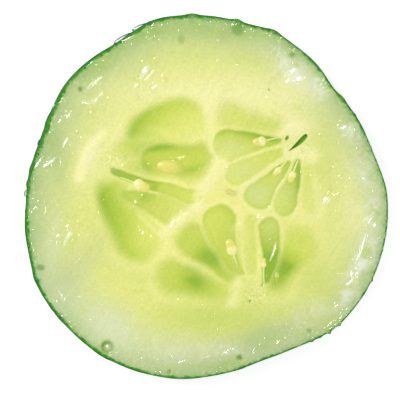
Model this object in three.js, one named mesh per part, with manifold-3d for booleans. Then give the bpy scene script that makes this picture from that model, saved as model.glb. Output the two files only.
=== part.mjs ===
// A slice cut across a slicing cucumber, lying on its lower cut face.
// Millimetres, +Z up. The origin is the middle of the lower cut face's bounding rectangle, on that face.
// Flesh and skin grew together and are one solid. The young seeds lie in pockets in the upper cut face
// and can be picked out, so each seed is a solid of its own, in one piece with its stalk.

import * as THREE from "three";
import { mergeVertices } from "three/addons/utils/BufferGeometryUtils.js";
import Module from "manifold-3d";

// Slice
const sliceWidth = 48; // across X, skin to skin
const sliceThickness = 5; // between the two cut faces
const wallTaper = 0.35; // how much nearer the middle the foot of the wall is than its head
const rimRounding = 0.2; // where the knife left the skin
const rimSteps = 168; // points round the rim
const roundingSteps = 2;

// Seeds
const seedFlatness = 0.6; // a seed's thickness over its width
const seedEgg = 0.15; // how much fuller a seed is towards its stalk than an even oval
const seedSink = 0.15; // how far a seed's middle lies under the cut face
const seedClearance = 0.3; // between a seed and its pocket
const stalkWidth = 0.3;
const seedSides = 16;
const bulbSteps = 10;

// The slit where one carpel's wall has parted
const slitLength = 3.2;
const slitWidth = 0.5;
const slitDepth = 2;
const slitSteps = 8;

const mergeDistance = 1e-4; // corners nearer than this are one corner

// Bearing in degrees from +X and reach as a share of half the width, for each corner, crown and flat of
// the rim: three broad sides, one for each carpel, with the widest shoulder at the lower left.
const rimCrowns = [
  [0, 0.997],
  [10, 0.962],
  [22, 0.94],
  [32, 0.928],
  [41, 0.921],
  [50, 0.946],
  [60, 0.967],
  [67, 0.985],
  [76, 0.98],
  [88, 0.995],
  [98, 1.007],
  [106, 1.018],
  [113, 1.0],
  [121, 0.982],
  [132, 0.991],
  [142, 0.993],
  [152, 0.977],
  [161, 0.968],
  [172, 0.987],
  [184, 1.004],
  [195, 1.026],
  [208, 1.056],
  [222, 1.054],
  [236, 1.053],
  [251, 1.034],
  [265, 1.008],
  [278, 0.975],
  [290, 0.953],
  [299, 0.964],
  [308, 0.992],
  [316, 1.02],
  [331, 1.022],
  [345, 1.013],
];

// Each seed's place on the cut face (bearing in degrees, reach as a share of half the width), the bearing
// its stalk points along, and its own length, width and stalk length.
const seeds = [
  { name: "seed_left_large", bearing: 170.6, reach: 0.362, points: 156, length: 2.35, width: 1.6, stalk: 2.3 },
  { name: "seed_left_flat", bearing: 138.9, reach: 0.249, points: 172, length: 4.3, width: 1.85, stalk: 0 },
  { name: "seed_right_large", bearing: 46.3, reach: 0.419, points: 11, length: 1.9, width: 1.35, stalk: 2.4 },
  { name: "seed_right_slim", bearing: 19.6, reach: 0.411, points: 47, length: 1.5, width: 0.85, stalk: 2 },
  { name: "seed_right_mid", bearing: 13.1, reach: 0.48, points: 69, length: 1.65, width: 1.1, stalk: 1.7 },
  { name: "seed_lower_large", bearing: 296, reach: 0.307, points: 289, length: 2.3, width: 1.5, stalk: 2.25 },
  { name: "seed_lower_slim", bearing: 311, reach: 0.479, points: 269, length: 1.3, width: 0.75, stalk: 2.6 },
  { name: "seed_lower_small", bearing: 312, reach: 0.578, points: 270, length: 0.85, width: 0.7, stalk: 1 },
];
const slit = { bearing: 30.5, reach: 0.582, points: 42 };

const wasm = await Module();
wasm.setup();

const polar = (bearing, reach) => {
  const angle = THREE.MathUtils.degToRad(bearing);
  return new THREE.Vector3(Math.cos(angle), Math.sin(angle), 0).multiplyScalar(reach);
};

// A closed three.js geometry as a solid that can be cut.
function toSolid(geometry) {
  const bare = geometry.clone();
  bare.deleteAttribute("normal");
  bare.deleteAttribute("uv");
  const merged = mergeVertices(bare, mergeDistance);
  return new wasm.Manifold(
    new wasm.Mesh({
      numProp: 3,
      vertProperties: merged.attributes.position.array,
      triVerts: new Uint32Array(merged.index.array),
    }),
  );
}

function toGeometry(solid) {
  const mesh = solid.getMesh();
  const geometry = new THREE.BufferGeometry();
  geometry.setAttribute("position", new THREE.BufferAttribute(mesh.vertProperties, 3));
  geometry.setIndex(new THREE.BufferAttribute(mesh.triVerts, 1));
  geometry.computeVertexNormals();
  return geometry;
}

// The rim as a closed smooth line, centred on its bounding rectangle and sliceWidth across.
function rimLine() {
  const line = new THREE.CatmullRomCurve3(
    rimCrowns.map(([bearing, reach]) => polar(bearing, reach)),
    true,
  );
  const points = line.getSpacedPoints(rimSteps).slice(0, rimSteps);
  const box = new THREE.Box3().setFromPoints(points);
  const middle = box.getCenter(new THREE.Vector3());
  const scale = sliceWidth / (box.max.x - box.min.x);
  return points.map((p) => new THREE.Vector2(p.x - middle.x, p.y - middle.y).multiplyScalar(scale));
}

// The slice before its pockets are cut: upright skin, rounded where it meets each cut face, drawn in
// towards the lower rim.
function sliceBlank() {
  const geometry = new THREE.ExtrudeGeometry(new THREE.Shape(rimLine()), {
    depth: sliceThickness - 2 * rimRounding,
    steps: 1,
    bevelThickness: rimRounding,
    bevelSize: rimRounding,
    bevelOffset: -rimRounding,
    bevelSegments: roundingSteps,
  });
  geometry.translate(0, 0, rimRounding);
  const place = geometry.attributes.position;
  const wallHeight = sliceThickness - 2 * rimRounding;
  for (let i = 0; i < place.count; i++) {
    const fromWidest = (sliceThickness - rimRounding - place.getZ(i)) / wallHeight;
    const draw = 1 - (fromWidest * wallTaper) / (sliceWidth / 2);
    place.setXY(i, place.getX(i) * draw, place.getY(i) * draw);
  }
  return geometry;
}

// A seed with its stalk, turned about its own length, or its pocket where grow is the clearance. The bulb
// is egg-shaped, with its blunt end at the stalk.
function seedShape(seed, grow) {
  const half = seed.length / 2 + grow;
  const radius = seed.width / 2 + grow;
  const stalkRadius = stalkWidth / 2 + grow;
  const profile = [];
  for (let i = 0; i <= bulbSteps; i++) {
    const along = -Math.cos((Math.PI * i) / bulbSteps);
    const round = Math.sqrt(Math.max(0, 1 - along * along));
    profile.push(new THREE.Vector2(radius * round * (1 + seedEgg * along), half * along));
  }
  if (seed.stalk > 0) {
    const neck = profile.findLastIndex((p) => p.x > stalkRadius);
    profile.length = neck + 1;
    const end = seed.length / 2 + seed.stalk + grow;
    profile.push(new THREE.Vector2(stalkRadius, Math.max(profile[neck].y, seed.length / 2)));
    profile.push(new THREE.Vector2(stalkRadius, end));
    profile.push(new THREE.Vector2(0, end));
  }
  profile[0].x = 0;
  profile[profile.length - 1].x = 0;
  const geometry = new THREE.LatheGeometry(profile, seedSides);
  geometry.rotateZ(-Math.PI / 2); // the length now runs along +X, stalk foremost
  const flat = ((seed.width * seedFlatness) / 2 + grow) / radius;
  geometry.scale(1, 1, flat);
  return geometry;
}

function placed(geometry, spot, height) {
  const at = polar(spot.bearing, (spot.reach * sliceWidth) / 2);
  const turned = geometry.clone();
  turned.rotateZ(THREE.MathUtils.degToRad(spot.points));
  return turned.translate(at.x, at.y, height);
}

// The slit as a pointed blade that is fullest near its outer end.
function slitShape() {
  const half = slitLength / 2;
  const outline = new THREE.Shape();
  outline.moveTo(-half, 0);
  outline.bezierCurveTo(-half / 3, -slitWidth / 4, half / 2, -slitWidth, half, 0);
  outline.bezierCurveTo(half / 2, slitWidth, -half / 3, slitWidth / 4, -half, 0);
  return new THREE.ExtrudeGeometry(outline, {
    depth: 2 * slitDepth,
    bevelEnabled: false,
    curveSegments: slitSteps,
  });
}

function sliceMesh() {
  let solid = toSolid(sliceBlank());
  for (const seed of seeds) {
    solid = solid.subtract(toSolid(placed(seedShape(seed, seedClearance), seed, sliceThickness - seedSink)));
  }
  solid = solid.subtract(toSolid(placed(slitShape(), slit, sliceThickness - slitDepth)));
  const flesh = new THREE.MeshStandardMaterial({ color: 0xcfdd88, roughness: 0.3, metalness: 0 });
  const mesh = new THREE.Mesh(toGeometry(solid), flesh);
  mesh.name = "slice";
  return mesh;
}

function seedMesh(seed) {
  const coat = new THREE.MeshStandardMaterial({ color: 0xf3ee88, roughness: 0.35, metalness: 0 });
  const mesh = new THREE.Mesh(seedShape(seed, 0), coat);
  mesh.name = seed.name;
  mesh.position.copy(polar(seed.bearing, (seed.reach * sliceWidth) / 2));
  mesh.position.z = sliceThickness - seedSink;
  mesh.rotation.z = THREE.MathUtils.degToRad(seed.points);
  return mesh;
}

const cucumberSlice = new THREE.Group();
cucumberSlice.add(sliceMesh());
for (const seed of seeds) {
  cucumberSlice.add(seedMesh(seed));
}

export default cucumberSlice;
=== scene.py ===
import math

import bmesh
import bpy
import numpy as np
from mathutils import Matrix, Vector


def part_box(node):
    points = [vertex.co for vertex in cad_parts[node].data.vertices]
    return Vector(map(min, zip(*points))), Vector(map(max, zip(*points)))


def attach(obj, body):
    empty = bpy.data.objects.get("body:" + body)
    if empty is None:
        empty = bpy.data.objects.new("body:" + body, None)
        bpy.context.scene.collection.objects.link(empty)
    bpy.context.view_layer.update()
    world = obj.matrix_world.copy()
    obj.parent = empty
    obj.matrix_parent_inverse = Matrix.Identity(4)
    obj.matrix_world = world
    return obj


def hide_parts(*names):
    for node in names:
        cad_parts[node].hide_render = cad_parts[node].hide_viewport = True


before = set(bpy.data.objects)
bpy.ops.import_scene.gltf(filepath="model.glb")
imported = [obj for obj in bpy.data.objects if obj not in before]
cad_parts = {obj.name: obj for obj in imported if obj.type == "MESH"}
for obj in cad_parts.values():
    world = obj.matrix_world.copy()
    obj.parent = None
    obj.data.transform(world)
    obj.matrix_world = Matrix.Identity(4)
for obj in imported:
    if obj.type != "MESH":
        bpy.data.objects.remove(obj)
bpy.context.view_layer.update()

# A slice of cucumber lying on its lower cut face. Sizes here are in millimetres, in the CAD frame, and
# become metres where a mesh or a light is made.
mm = 0.001
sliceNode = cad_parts["slice"]
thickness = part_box("slice")[1].z / mm

camera = {
    "target": (-0.86, -0.42),  # what it looks straight down on
    "fieldWidth": 52.75,  # what it takes in at the height of the upper cut face
    "distance": 400,
}


def makeCamera():
    data = bpy.data.cameras.new("camera")
    data.lens = data.sensor_width * camera["distance"] / camera["fieldWidth"]
    data.clip_start = 0.01
    body = bpy.data.objects.new("camera", data)
    x, y = camera["target"]
    body.location = (x * mm, y * mm, (camera["distance"] + thickness) * mm)
    bpy.context.scene.collection.objects.link(body)
    bpy.context.scene.camera = body


makeCamera()
print("camera made")


def smoothStep(low, high, value):
    t = np.clip((value - low) / (high - low), 0, 1)
    return t * t * (3 - 2 * t)


# Smooth noise between -1 and 1 whose lumps are about size across.
def softNoise(x, y, size, seed):
    lattice = np.random.default_rng(seed).uniform(-1, 1, (64, 64))
    u = x / size + 1000
    v = y / size + 1000
    i = np.floor(u).astype(int)
    j = np.floor(v).astype(int)
    s = smoothStep(0, 1, u - i)
    t = smoothStep(0, 1, v - j)
    rows = []
    for row in (j % 64, (j + 1) % 64):
        rows.append(lattice[i % 64, row] * (1 - s) + lattice[(i + 1) % 64, row] * s)
    return rows[0] * (1 - t) + rows[1] * t


# How far points are outside a tapered capsule that may bow to its left, how far along it they are, from
# 0 to 1, and how far across, from -1 to 1.
def capsule(x, y, start, end, startHalf, endHalf, bow):
    length = math.hypot(end[0] - start[0], end[1] - start[1])
    ux, uy = (end[0] - start[0]) / length, (end[1] - start[1]) / length
    along = (x - start[0]) * ux + (y - start[1]) * uy
    across = (y - start[1]) * ux - (x - start[0]) * uy
    t = np.clip(along / length, 0, 1)
    across = across - bow * 4 * t * (1 - t)
    half = startHalf + (endHalf - startHalf) * t**0.85
    outside = np.hypot(along - t * length, across) - half
    return outside, t, np.clip(across / half, -1, 1)


# A bearing in degrees as a direction of length 1.
def heading(degrees):
    return math.cos(math.radians(degrees)), math.sin(math.radians(degrees))


# 1 in the middle of an oval spot, falling away smoothly, or all at once where it is sharp.
def spotAt(x, y, spot, sharpness=1):
    cx, cy, rx, ry, turn, amount = spot
    c, s = heading(turn)
    u = ((x - cx) * c + (y - cy) * s) / rx
    v = ((y - cy) * c - (x - cx) * s) / ry
    return amount * np.exp(-1.4 * (u * u + v * v) ** sharpness)


def joined(values):
    kept = 1
    for value in values:
        kept = kept * (1 - np.clip(value, 0, 1))
    return 1 - kept


# Each gel chamber: its narrow end by the placenta, the middle of its round end, half its width at each,
# its bow, how soft its outline is, how much of it shows, then how green it is at its narrow end, halfway
# and at its round end, and how much greener to its left and at its outline.
gelChambers = [
    ((13.2, 3.6), (13.7, -1.4), 0.5, 0.8, 0, 1.2, 0.4, (0.4, 0.35, 0.25), 0, 0),
    ((9.2, 9.3), (3.3, 10.7), 0.9, 1.7, 0.2, 2.2, 0.7, (0.5, 0.42, 0.3), -0.05, 0.08),
    ((-7.8, 8.3), (-3.3, 10.4), 2.6, 2.8, 0.3, 1.9, 1, (0.56, 0.37, 0.22), 0.34, 0),
    ((-10.4, 6.2), (-7.0, 6.0), 1.6, 1.9, 0, 1.8, 0.85, (0.4, 0.5, 0.5), 0, 0),
    ((-9.7, 4.2), (-6.5, 4.0), 1.2, 1.6, 0, 1.8, 0.7, (0.4, 0.45, 0.45), 0, 0),
    ((-6.6, 4.9), (-1.3, 4.6), 2.2, 2.4, 0, 1.6, 1, (0.5, 0.45, 0.42), 0.14, 0.12),
    ((-12.4, 0), (-9.1, -5.5), 2.2, 3.0, 0.2, 2.2, 1, (0.7, 0.52, 0.32), -0.36, 0.1),
    ((-10.8, 0.3), (-3.5, -2.4), 0.7, 2.1, 0, 0.7, 0.85, (0.7, 0.55, 0.2), 0, 0.1),
    ((2.2, -12.3), (-4.3, -10.5), 1.2, 2.3, 0, 2.2, 0.95, (0.4, 0.82, 0.5), 0, 0.05),
    ((3.3, -10.2), (-1.6, -5.8), 1.0, 2.4, 0, 1.5, 0.95, (0.55, 0.9, 0.5), 0, 0.05),
    ((9.1, -11.2), (11.8, -6.5), 1.3, 2.3, 0, 2.6, 1, (0.85, 0.85, 0.35), 0, 0),
    ((5.9, -9.7), (5.8, -3.0), 0.7, 0.8, 0, 0.6, 0.65, (0.4, 0.35, 0.3), 0, 0),
    ((9.7, 6.0), (4.0, 3.1), 0.5, 1.6, 0, 0.4, 0.75, (0.45, 0.28, 0.2), 0, 0.1),
    ((12.0, 4.5), (10.5, -0.8), 0.5, 1.65, 0.2, 0.45, 0.95, (1.0, 0.7, 0.38), 0.22, 0.12),
    ((10.6, 4.5), (7.0, 0.3), 0.4, 1.85, 0, 0.4, 0.95, (0.6, 0.42, 0.34), 0, 0.22),
    ((9.7, 7.5), (2.9, 7.0), 0.4, 2.15, -0.1, 0.45, 1, (0.7, 0.5, 0.25), -0.3, 0.22),
    ((7.9, -11.0), (8.2, -3.9), 0.6, 1.5, -0.35, 0.4, 1, (0.95, 0.85, 0.5), 0, 0.15),
    ((4.6, -10.2), (1.8, -3.3), 0.4, 2.3, 0.5, 0.45, 1, (0.6, 0.5, 0.34), -0.1, 0.16),
    ((-12.3, 3.5), (-1.7, 0.1), 0.4, 1.05, -0.35, 0.35, 1, (1, 0.55, 0.25), 0, 0.1),
    ((4.7, -11), (4.5, -4.4), 0.3, 0.35, 0.1, 1.0, 0.55, (0.4, 0.35, 0.3), 0, 0),
]

# The palest flesh, the walls where three chambers meet and the placentas at their outer ends: start, end,
# half the width at each, bow, softness, how much shows.
paleWalls = [
    ((-9.4, -2.3), (-5.8, -5.2), 0.08, 0.2, 0, 0.7, 0.5),
    ((-5.6, -5.0), (-0.9, -1.1), 0.45, 0.8, 0, 1.3, 0.95),
    ((4.6, 0.9), (10.2, 5.2), 0.3, 0.12, 0, 0.7, 0.45),
    ((5.1, -10.6), (4.3, -1.2), 0.12, 0.15, 0.1, 0.5, 0.4),
    ((0.6, 6.0), (0.4, 12.0), 0.5, 0.6, 0, 1.4, 0.5),
    ((-0.6, 1.0), (1.7, 4.3), 0.7, 1.0, 0, 1.7, 0.85),
    ((-1.3, 0.2), (-0.2, 1.4), 0.5, 0.7, 0, 1.4, 0.6),
    ((-13.8, 8.3), (-16.5, 2.6), 0.55, 0.65, -0.6, 1, 1),
    ((9.8, 8.3), (12.2, 9.2), 0.4, 0.5, 0.2, 1.5, 0.6),
    ((10.8, 6.0), (13.8, 5.4), 0.6, 0.8, 0, 1.4, 0.95),
    ((3.4, -13.8), (4.2, -11.2), 0.6, 0.5, 0, 1.5, 0.6),
]

# Broad washes and small marks: middle, half sizes, turn in degrees, how much shows.
washes = {
    "cream": [
        (0, 13.5, 14, 3.2, 0, 0.7), (9, 12.5, 6, 3, -30, 0.4), (-12, 8, 4, 3, 40, 0.35),
        (14.5, -1, 1.6, 3.5, 0, 0.25), (18.5, 0, 3, 7, 0, 0.4), (12.4, 8.8, 2, 1.7, 0, 0.7),
        (10.8, 9.4, 2.4, 1.6, 0, 0.6), (-15.2, 4.5, 2.6, 4, 0, 0.6), (-4, -2.4, 1.6, 1.2, 30, 0.5),
        (11.5, 15, 4, 2.2, -40, 0.4), (20, -2.5, 1.5, 2.5, 0, 0.5), (12.6, 5.9, 2, 1.1, -10, 0.9),
        (-15.3, 5.8, 3.2, 0.8, 65, 1),
    ],
    "lime": [
        (2, -16, 9, 3.2, 0, 0.75), (13.5, -9.5, 3.4, 6, 25, 0.55), (-8, -10.5, 7, 2.6, -30, 0.35),
        (15, 4, 2.2, 5, 0, 0.35), (-13.5, -5, 2.4, 5, 20, 0.35), (-13, 1.5, 2.4, 2, 0, 0.5),
        (17, 1, 2, 5, 0, 0.25), (-2, -15.2, 5, 2, 0, 0.4), (4.4, -7, 1.2, 3.4, 0, 0.35),
        (4.4, -12, 2, 2, 0, 0.3),
    ],
    "grey": [
        (-20, -13, 2.6, 11, -40, 0.55), (4, -21, 14, 2.3, 5, 0.7), (-20.5, 8, 1.6, 8, 15, 0.35),
        (9, -18.2, 6, 1.8, 18, 0.6),
    ],
    # painted sheen: where the wet face shows a whitish reflection
    "paintedSheen": [
        (11.6, 16.4, 1.6, 1.7, 45, 1), (8.8, 19, 1.8, 0.8, -25, 0.9), (10.2, 17.6, 1.8, 1, -40, 0.85),
        (14.3, 14.5, 2.2, 1.4, -45, 0.85), (18.9, 8.3, 1.5, 1.4, -60, 0.8), (20.8, 3.4, 1.4, 3.4, 5, 0.5),
        (21.9, -3, 1.5, 5, -5, 0.7), (20.3, -8.6, 1.7, 3, -15, 0.85), (18.6, -12.8, 1.6, 2.6, -25, 0.7),
        (13.8, -15.2, 3.4, 1.5, 25, 0.35), (1.5, -20.2, 4, 1.3, 0, 0.4), (-15.3, 5.8, 2.8, 0.6, 65, 0.3),
        (12.5, 5.8, 1.8, 0.8, -10, 0.3), (11.4, 9.1, 1, 0.9, 0, 0.2),
    ],
    "mist": [
        (-12.8, -17, 5.5, 3, -35, 0.7), (-4.5, -20, 5, 2, -8, 0.5), (-18.5, -13, 2.4, 4, -40, 0.2),
        (-20.4, -6.5, 1.6, 6, -8, 0.35),
    ],
    "green": [
        (1, 21.8, 10, 1.5, 0, 0.42), (3, -22.2, 8, 0.9, 3, 0.5), (-8, 21.5, 4, 1.7, 20, 0.55),
        (-14, 17.6, 4.5, 1.6, 42, 0.45), (-20.6, 7.6, 1.5, 6, 15, 0.4), (7.5, -18.8, 4.5, 1.8, 18, 0.3),
        (16.9, 13.3, 1.4, 1.2, -45, 0.35),
    ],
    "veinAndDropShade": [
        (-16.7, 14.2, 0.3, 0.3, 0, 0.9), (-21.9, -9.3, 0.6, 0.45, 20, 0.7), (4.4, -21.1, 0.5, 0.35, 30, 1),
        (11.3, 18.7, 0.5, 0.4, 30, 0.7), (19.2, -13.6, 0.35, 0.4, 0, 0.7), (13.5, -17.8, 0.4, 0.3, 0, 0.5),
        (-4.8, -22.8, 0.3, 0.35, 0, 0.7), (-19.6, -15.6, 0.6, 0.35, 30, 0.6),
        (-3.5, 20.6, 0.5, 0.7, 0, 0.35), (16.2, 15.5, 0.3, 0.3, 0, 0.3), (4.1, 22.3, 0.95, 0.95, 0, 0.6),
        # painted shade under the drop at the lower left
        (-13.1, -19.8, 0.5, 0.5, 0, 0.25),
    ],
    "pit": [
        (10.7, 7.8, 0.22, 0.38, -30, 1), (5.7, -13.6, 0.24, 0.2, 0, 0.7), (7.4, -11.7, 0.2, 0.2, 0, 0.6),
    ],
    "grainy": [
        (-12.6, 5, 2.4, 1.9, 0, 0.8), (12.6, 6, 1.9, 1.5, 0, 0.9), (6.4, -12.8, 2, 1.7, 0, 0.95),
        (3.2, 0.6, 1.5, 1.0, 0, 0.7), (13.2, 8.6, 1.2, 1, 0, 0.5),
    ],
    "milk": [
        (8.2, -4, 1.7, 2.6, 0, 0.3), (10.6, 0.2, 1.7, 2.6, 10, 0.34), (6.8, 0.6, 2.2, 2, 45, 0.5),
        (3.4, 6.6, 2.4, 1.6, 0, 0.45), (4.8, 3.6, 2.4, 1.2, 25, 0.4),
    ],
    "bruise": [
        (3.3, 0.5, 0.9, 0.6, -10, 0.45), (8.4, 14.1, 0.17, 0.17, 0, 1), (10.2, -9.2, 0.3, 0.25, 0, 0.4),
    ],
}

# Where the painted shade ring of the drop lies: its middle, radius and width.
paintedRing = {
    "middle": (-13.1, -19.8),
    "radius": 0.62,
    "width": 0.27,
}

# Where the gel is greener than its chamber's own tones: middle, half sizes, turn, how much.
gelShades = [
    (-8, -0.3, 1.1, 0.9, 0, 0.3), (-7.9, 2.4, 1.8, 0.5, -20, 0.3), (-6.9, 1.1, 0.7, 0.8, 0, 0.3),
    (-6.0, 6.5, 2.2, 0.6, 5, 0.4), (-2.0, 3.7, 2, 0.7, 10, 0.35), (-10.2, 8.2, 1.5, 1.3, 30, 0.25),
    (-1.8, -11.2, 1.7, 0.7, -15, 0.35), (0.2, -8.0, 1.6, 0.8, -35, 0.3), (8.2, -8.6, 1, 1.2, 0, 0.55),
    (10.2, -9.4, 1.2, 1, 20, 0.3), (-8.4, 4, 1.5, 1, 0, 0.35), (12.4, 1.9, 0.5, 1, 0, 0.35),
    (-1.9, -8.9, 1.5, 1.2, 0, 0.25), (-8.8, 6.2, 1.3, 1.3, 0, 0.2), (8, 7.9, 1.6, 0.4, 0, 0.3),
]


# Painted shade: the dark green ring a standing drop shows round its rim at the lower left, boldest at its
# upper left.
def dropRimShade(x, y):
    dx, dy = x - paintedRing["middle"][0], y - paintedRing["middle"][1]
    side = 0.75 + 0.25 * np.cos(np.arctan2(dy, dx) - math.radians(135))
    return side * np.exp(-(((np.hypot(dx, dy) - paintedRing["radius"]) / paintedRing["width"]) ** 2))


# The gel chambers laid one over another: how much gel shows, how green it is, and how pale the walls round
# the chambers are.
def gelMasks(x, y):
    gel = np.zeros_like(x)
    tone = np.full_like(x, 0.5)
    glow = np.zeros_like(x)
    for start, end, startHalf, endHalf, bow, soft, share, tones, leftTone, edgeTone in gelChambers:
        outside, along, across = capsule(x, y, start, end, startHalf, endHalf, bow)
        inside = share * (1 - smoothStep(-soft / 2, soft / 2, outside))
        here = np.interp(along, (0, 0.5, 1), tones) + leftTone * across
        here = here + edgeTone * smoothStep(-0.5 * endHalf, 0, outside)
        tone = tone + (here - tone) * inside
        gel = np.maximum(gel * (1 - 0.5 * inside), inside)
        # the flesh is palest just outside a chamber
        fromCrest = (outside - 0.1 - 0.4 * soft) / (0.16 + 0.25 * soft)
        wall = (0.5 - 0.12 * soft) * (0.3 + 0.7 * along) * np.exp(-(fromCrest**2))
        glow = np.maximum(glow * (1 - inside), wall)
    tone = np.clip(tone + sum(spotAt(x, y, spot) for spot in gelShades), 0, 1)
    return gel, tone, glow


# Patchy, wettest towards the rim, with juice beaded up along the skin at the left.
def wetness(x, y, depth):
    wet = 0.25 + 0.75 * (1 - smoothStep(1, 9, depth))
    wet = wet * (0.3 + 0.7 * smoothStep(-0.2, 0.6, softNoise(x, y, 3.5, 13)))
    left = 0.5 - 0.5 * np.cos(np.arctan2(y, x) + 0.2)
    return wet + 2.5 * np.exp(-(((depth - 0.8) / 0.4) ** 2)) * left


# Every mask of the flesh at points of its cut face.
def tissue(x, y):
    wobbleX = x + 0.25 * softNoise(x, y, 2.6, 11) + 0.06 * softNoise(x, y, 0.8, 14)
    wobbleY = y + 0.25 * softNoise(x, y, 2.6, 12) + 0.06 * softNoise(x, y, 0.8, 15)
    bearing = np.arctan2(y, x)
    # the green under the skin is thinnest at the lower right
    depth = rimReach(bearing) - np.hypot(x, y) + 0.18 * (1 + np.cos(bearing + math.radians(40)))
    masks = {"depth": depth + 0.2 * softNoise(x, y, 0.9, 9) + 0.12 * softNoise(x, y, 0.5, 10)}
    masks["gel"], masks["tone"], glow = gelMasks(wobbleX, wobbleY)
    pale = [glow * (0.7 + 0.5 * softNoise(x, y, 1.8, 16))]
    for start, end, startHalf, endHalf, bow, soft, share in paleWalls:
        outside = capsule(wobbleX, wobbleY, start, end, startHalf, endHalf, bow)[0]
        pale.append(share * (1 - smoothStep(-soft / 2, soft / 2, outside)))
    masks["pale"] = joined(pale)
    for name, spots in washes.items():
        sharpness = 2.5 if name in ("veinAndDropShade", "bruise", "pit") else 1
        masks[name] = joined(spotAt(wobbleX, wobbleY, spot, sharpness) for spot in spots)
    # this mask also carries the painted shade round the drop
    masks["veinAndDropShade"] = np.maximum(masks["veinAndDropShade"], dropRimShade(x, y))
    # the painted sheen breaks up into patches
    patches = softNoise(x, y, 1.5, 17) + 0.7 * softNoise(x, y, 0.7, 18) + 0.5 * softNoise(x, y, 0.35, 19)
    masks["paintedSheen"] = masks["paintedSheen"] * smoothStep(-1.2, 0.2, patches)
    masks["wet"] = wetness(x, y, masks["depth"])
    return masks


# A mesh's vertices in millimetres.
def placesOf(mesh):
    flat = np.empty(3 * len(mesh.vertices))
    mesh.vertices.foreach_get("co", flat)
    return flat.reshape(-1, 3) / mm


# Reach from the origin by bearing, read from the CAD slice where its wall is widest.
def readRim(node):
    points = placesOf(node.data)
    reach = np.hypot(points[:, 0], points[:, 1])
    widest = points[np.argmax(reach), 2]
    onRim = points[(reach > 0.8 * reach.max()) & (abs(points[:, 2] - widest) < 0.01), :2]
    corners = np.unique(np.round(onRim, 3), axis=0)
    corners = corners[np.argsort(np.arctan2(corners[:, 1], corners[:, 0]))]
    return np.arctan2(corners[:, 1], corners[:, 0]), np.hypot(corners[:, 0], corners[:, 1])


rimBearings, rimReaches = readRim(sliceNode)


def rimReach(bearing):
    return np.interp(bearing, rimBearings, rimReaches, period=2 * math.pi)


print("rim read at", len(rimBearings), "bearings")


# How high the cut faces stand and sag.
relief = {
    "sink": 0.02,  # how far the upper cut face lies under the CAD slice's
    "gelSag": 0.12,  # the gel lies lower than the walls round it
    "placentaRise": 0.06,
    "knifeLine": 0.012,  # furrows the knife left
    "knifeBearing": 58,
    "grain": 0.014,  # cells of the flesh
    "placentaGrain": 0.025,
    "pitDepth": 0.25,
    "rimDrop": 0.07,
    "seedBed": 0.02,
    "floorShare": 0.6,  # relief of the lower cut face against the upper one
}
slit = {
    "middle": (12.03, 7.1),
    "bearing": 42,
    "length": 3.3,
    "width": 1.15,
    "depth": 0.55,
}


# Where the slit has opened: 1 inside it, 0 outside.
def slitOpening(x, y):
    c, s = heading(slit["bearing"])
    dx, dy = x - slit["middle"][0], y - slit["middle"][1]
    along = (dx * c + dy * s) / (slit["length"] / 2)
    across = dy * c - dx * s + 0.09 * (1 - along**2)
    t = np.clip((along + 1) / 2, 0, 1)
    half = slit["width"] / 2 * 1.55 * t**1.2 * (1 - t) ** 0.4 + 1e-6
    return (1 - smoothStep(0.55, 1.05, abs(across) / half)) * (abs(along) < 1)


def seedBeds(x, y):
    return joined(
        1 - smoothStep(0.9, 1.5, np.hypot(*seedFrame(x, y, seed))) for seed in seedPlaces.values()
    )


# A point's place in a seed's own frame, as shares of its half length and half width.
def seedFrame(x, y, seed):
    dx, dy = x - seed["middle"][0], y - seed["middle"][1]
    ux, uy = seed["axis"][0], seed["axis"][1]
    return (dx * ux + dy * uy) / seed["halfLength"], (dy * ux - dx * uy) / seed["halfWidth"]


def faceRelief(x, y, masks):
    c, s = heading(relief["knifeBearing"])
    along, across = x * c + y * s, y * c - x * s
    height = -relief["gelSag"] * masks["gel"] * (0.5 + 0.5 * masks["tone"])
    height += relief["placentaRise"] * masks["pale"] * (1 + 0.8 * softNoise(x, y, 0.5, 21))
    height += relief["knifeLine"] * softNoise(along / 14, across, 0.8, 22)
    height += relief["grain"] * (softNoise(x, y, 1.1, 23) + 0.6 * softNoise(x, y, 0.6, 24))
    height += relief["placentaGrain"] * masks["grainy"] * softNoise(x, y, 0.45, 25)
    height -= relief["rimDrop"] * (1 - smoothStep(0, 1.1, masks["depth"]))
    height -= relief["pitDepth"] * masks["pit"]
    return height


def cutFaceHeight(x, y):
    masks = tissue(x, y)
    height = thickness - relief["sink"] + faceRelief(x, y, masks)
    height -= relief["seedBed"] * seedBeds(x, y)
    return height - slit["depth"] * slitOpening(x, y)


def storeMasks(mesh, masks):
    for name, values in masks.items():
        layer = mesh.attributes.new(name, "FLOAT", "POINT")
        layer.data.foreach_set("value", np.asarray(values, np.float32))


def makeMesh(name, points, faces, masks=None):
    mesh = bpy.data.meshes.new(name)
    mesh.from_pydata((np.asarray(points) * mm).tolist(), [], faces)
    storeMasks(mesh, masks or {})
    mesh.validate()
    mesh.shade_smooth()
    piece = bpy.data.objects.new(name, mesh)
    bpy.context.scene.collection.objects.link(piece)
    return piece


# Faces that join two closed rows of vertices, the second outside or above the first.
def band(first, second):
    count = len(first)
    return [(first[i], first[(i + 1) % count], second[(i + 1) % count], second[i]) for i in range(count)]


def settle(piece, slot, *nodes):
    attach(piece, "root")
    if nodes:
        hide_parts(*nodes)


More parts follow.
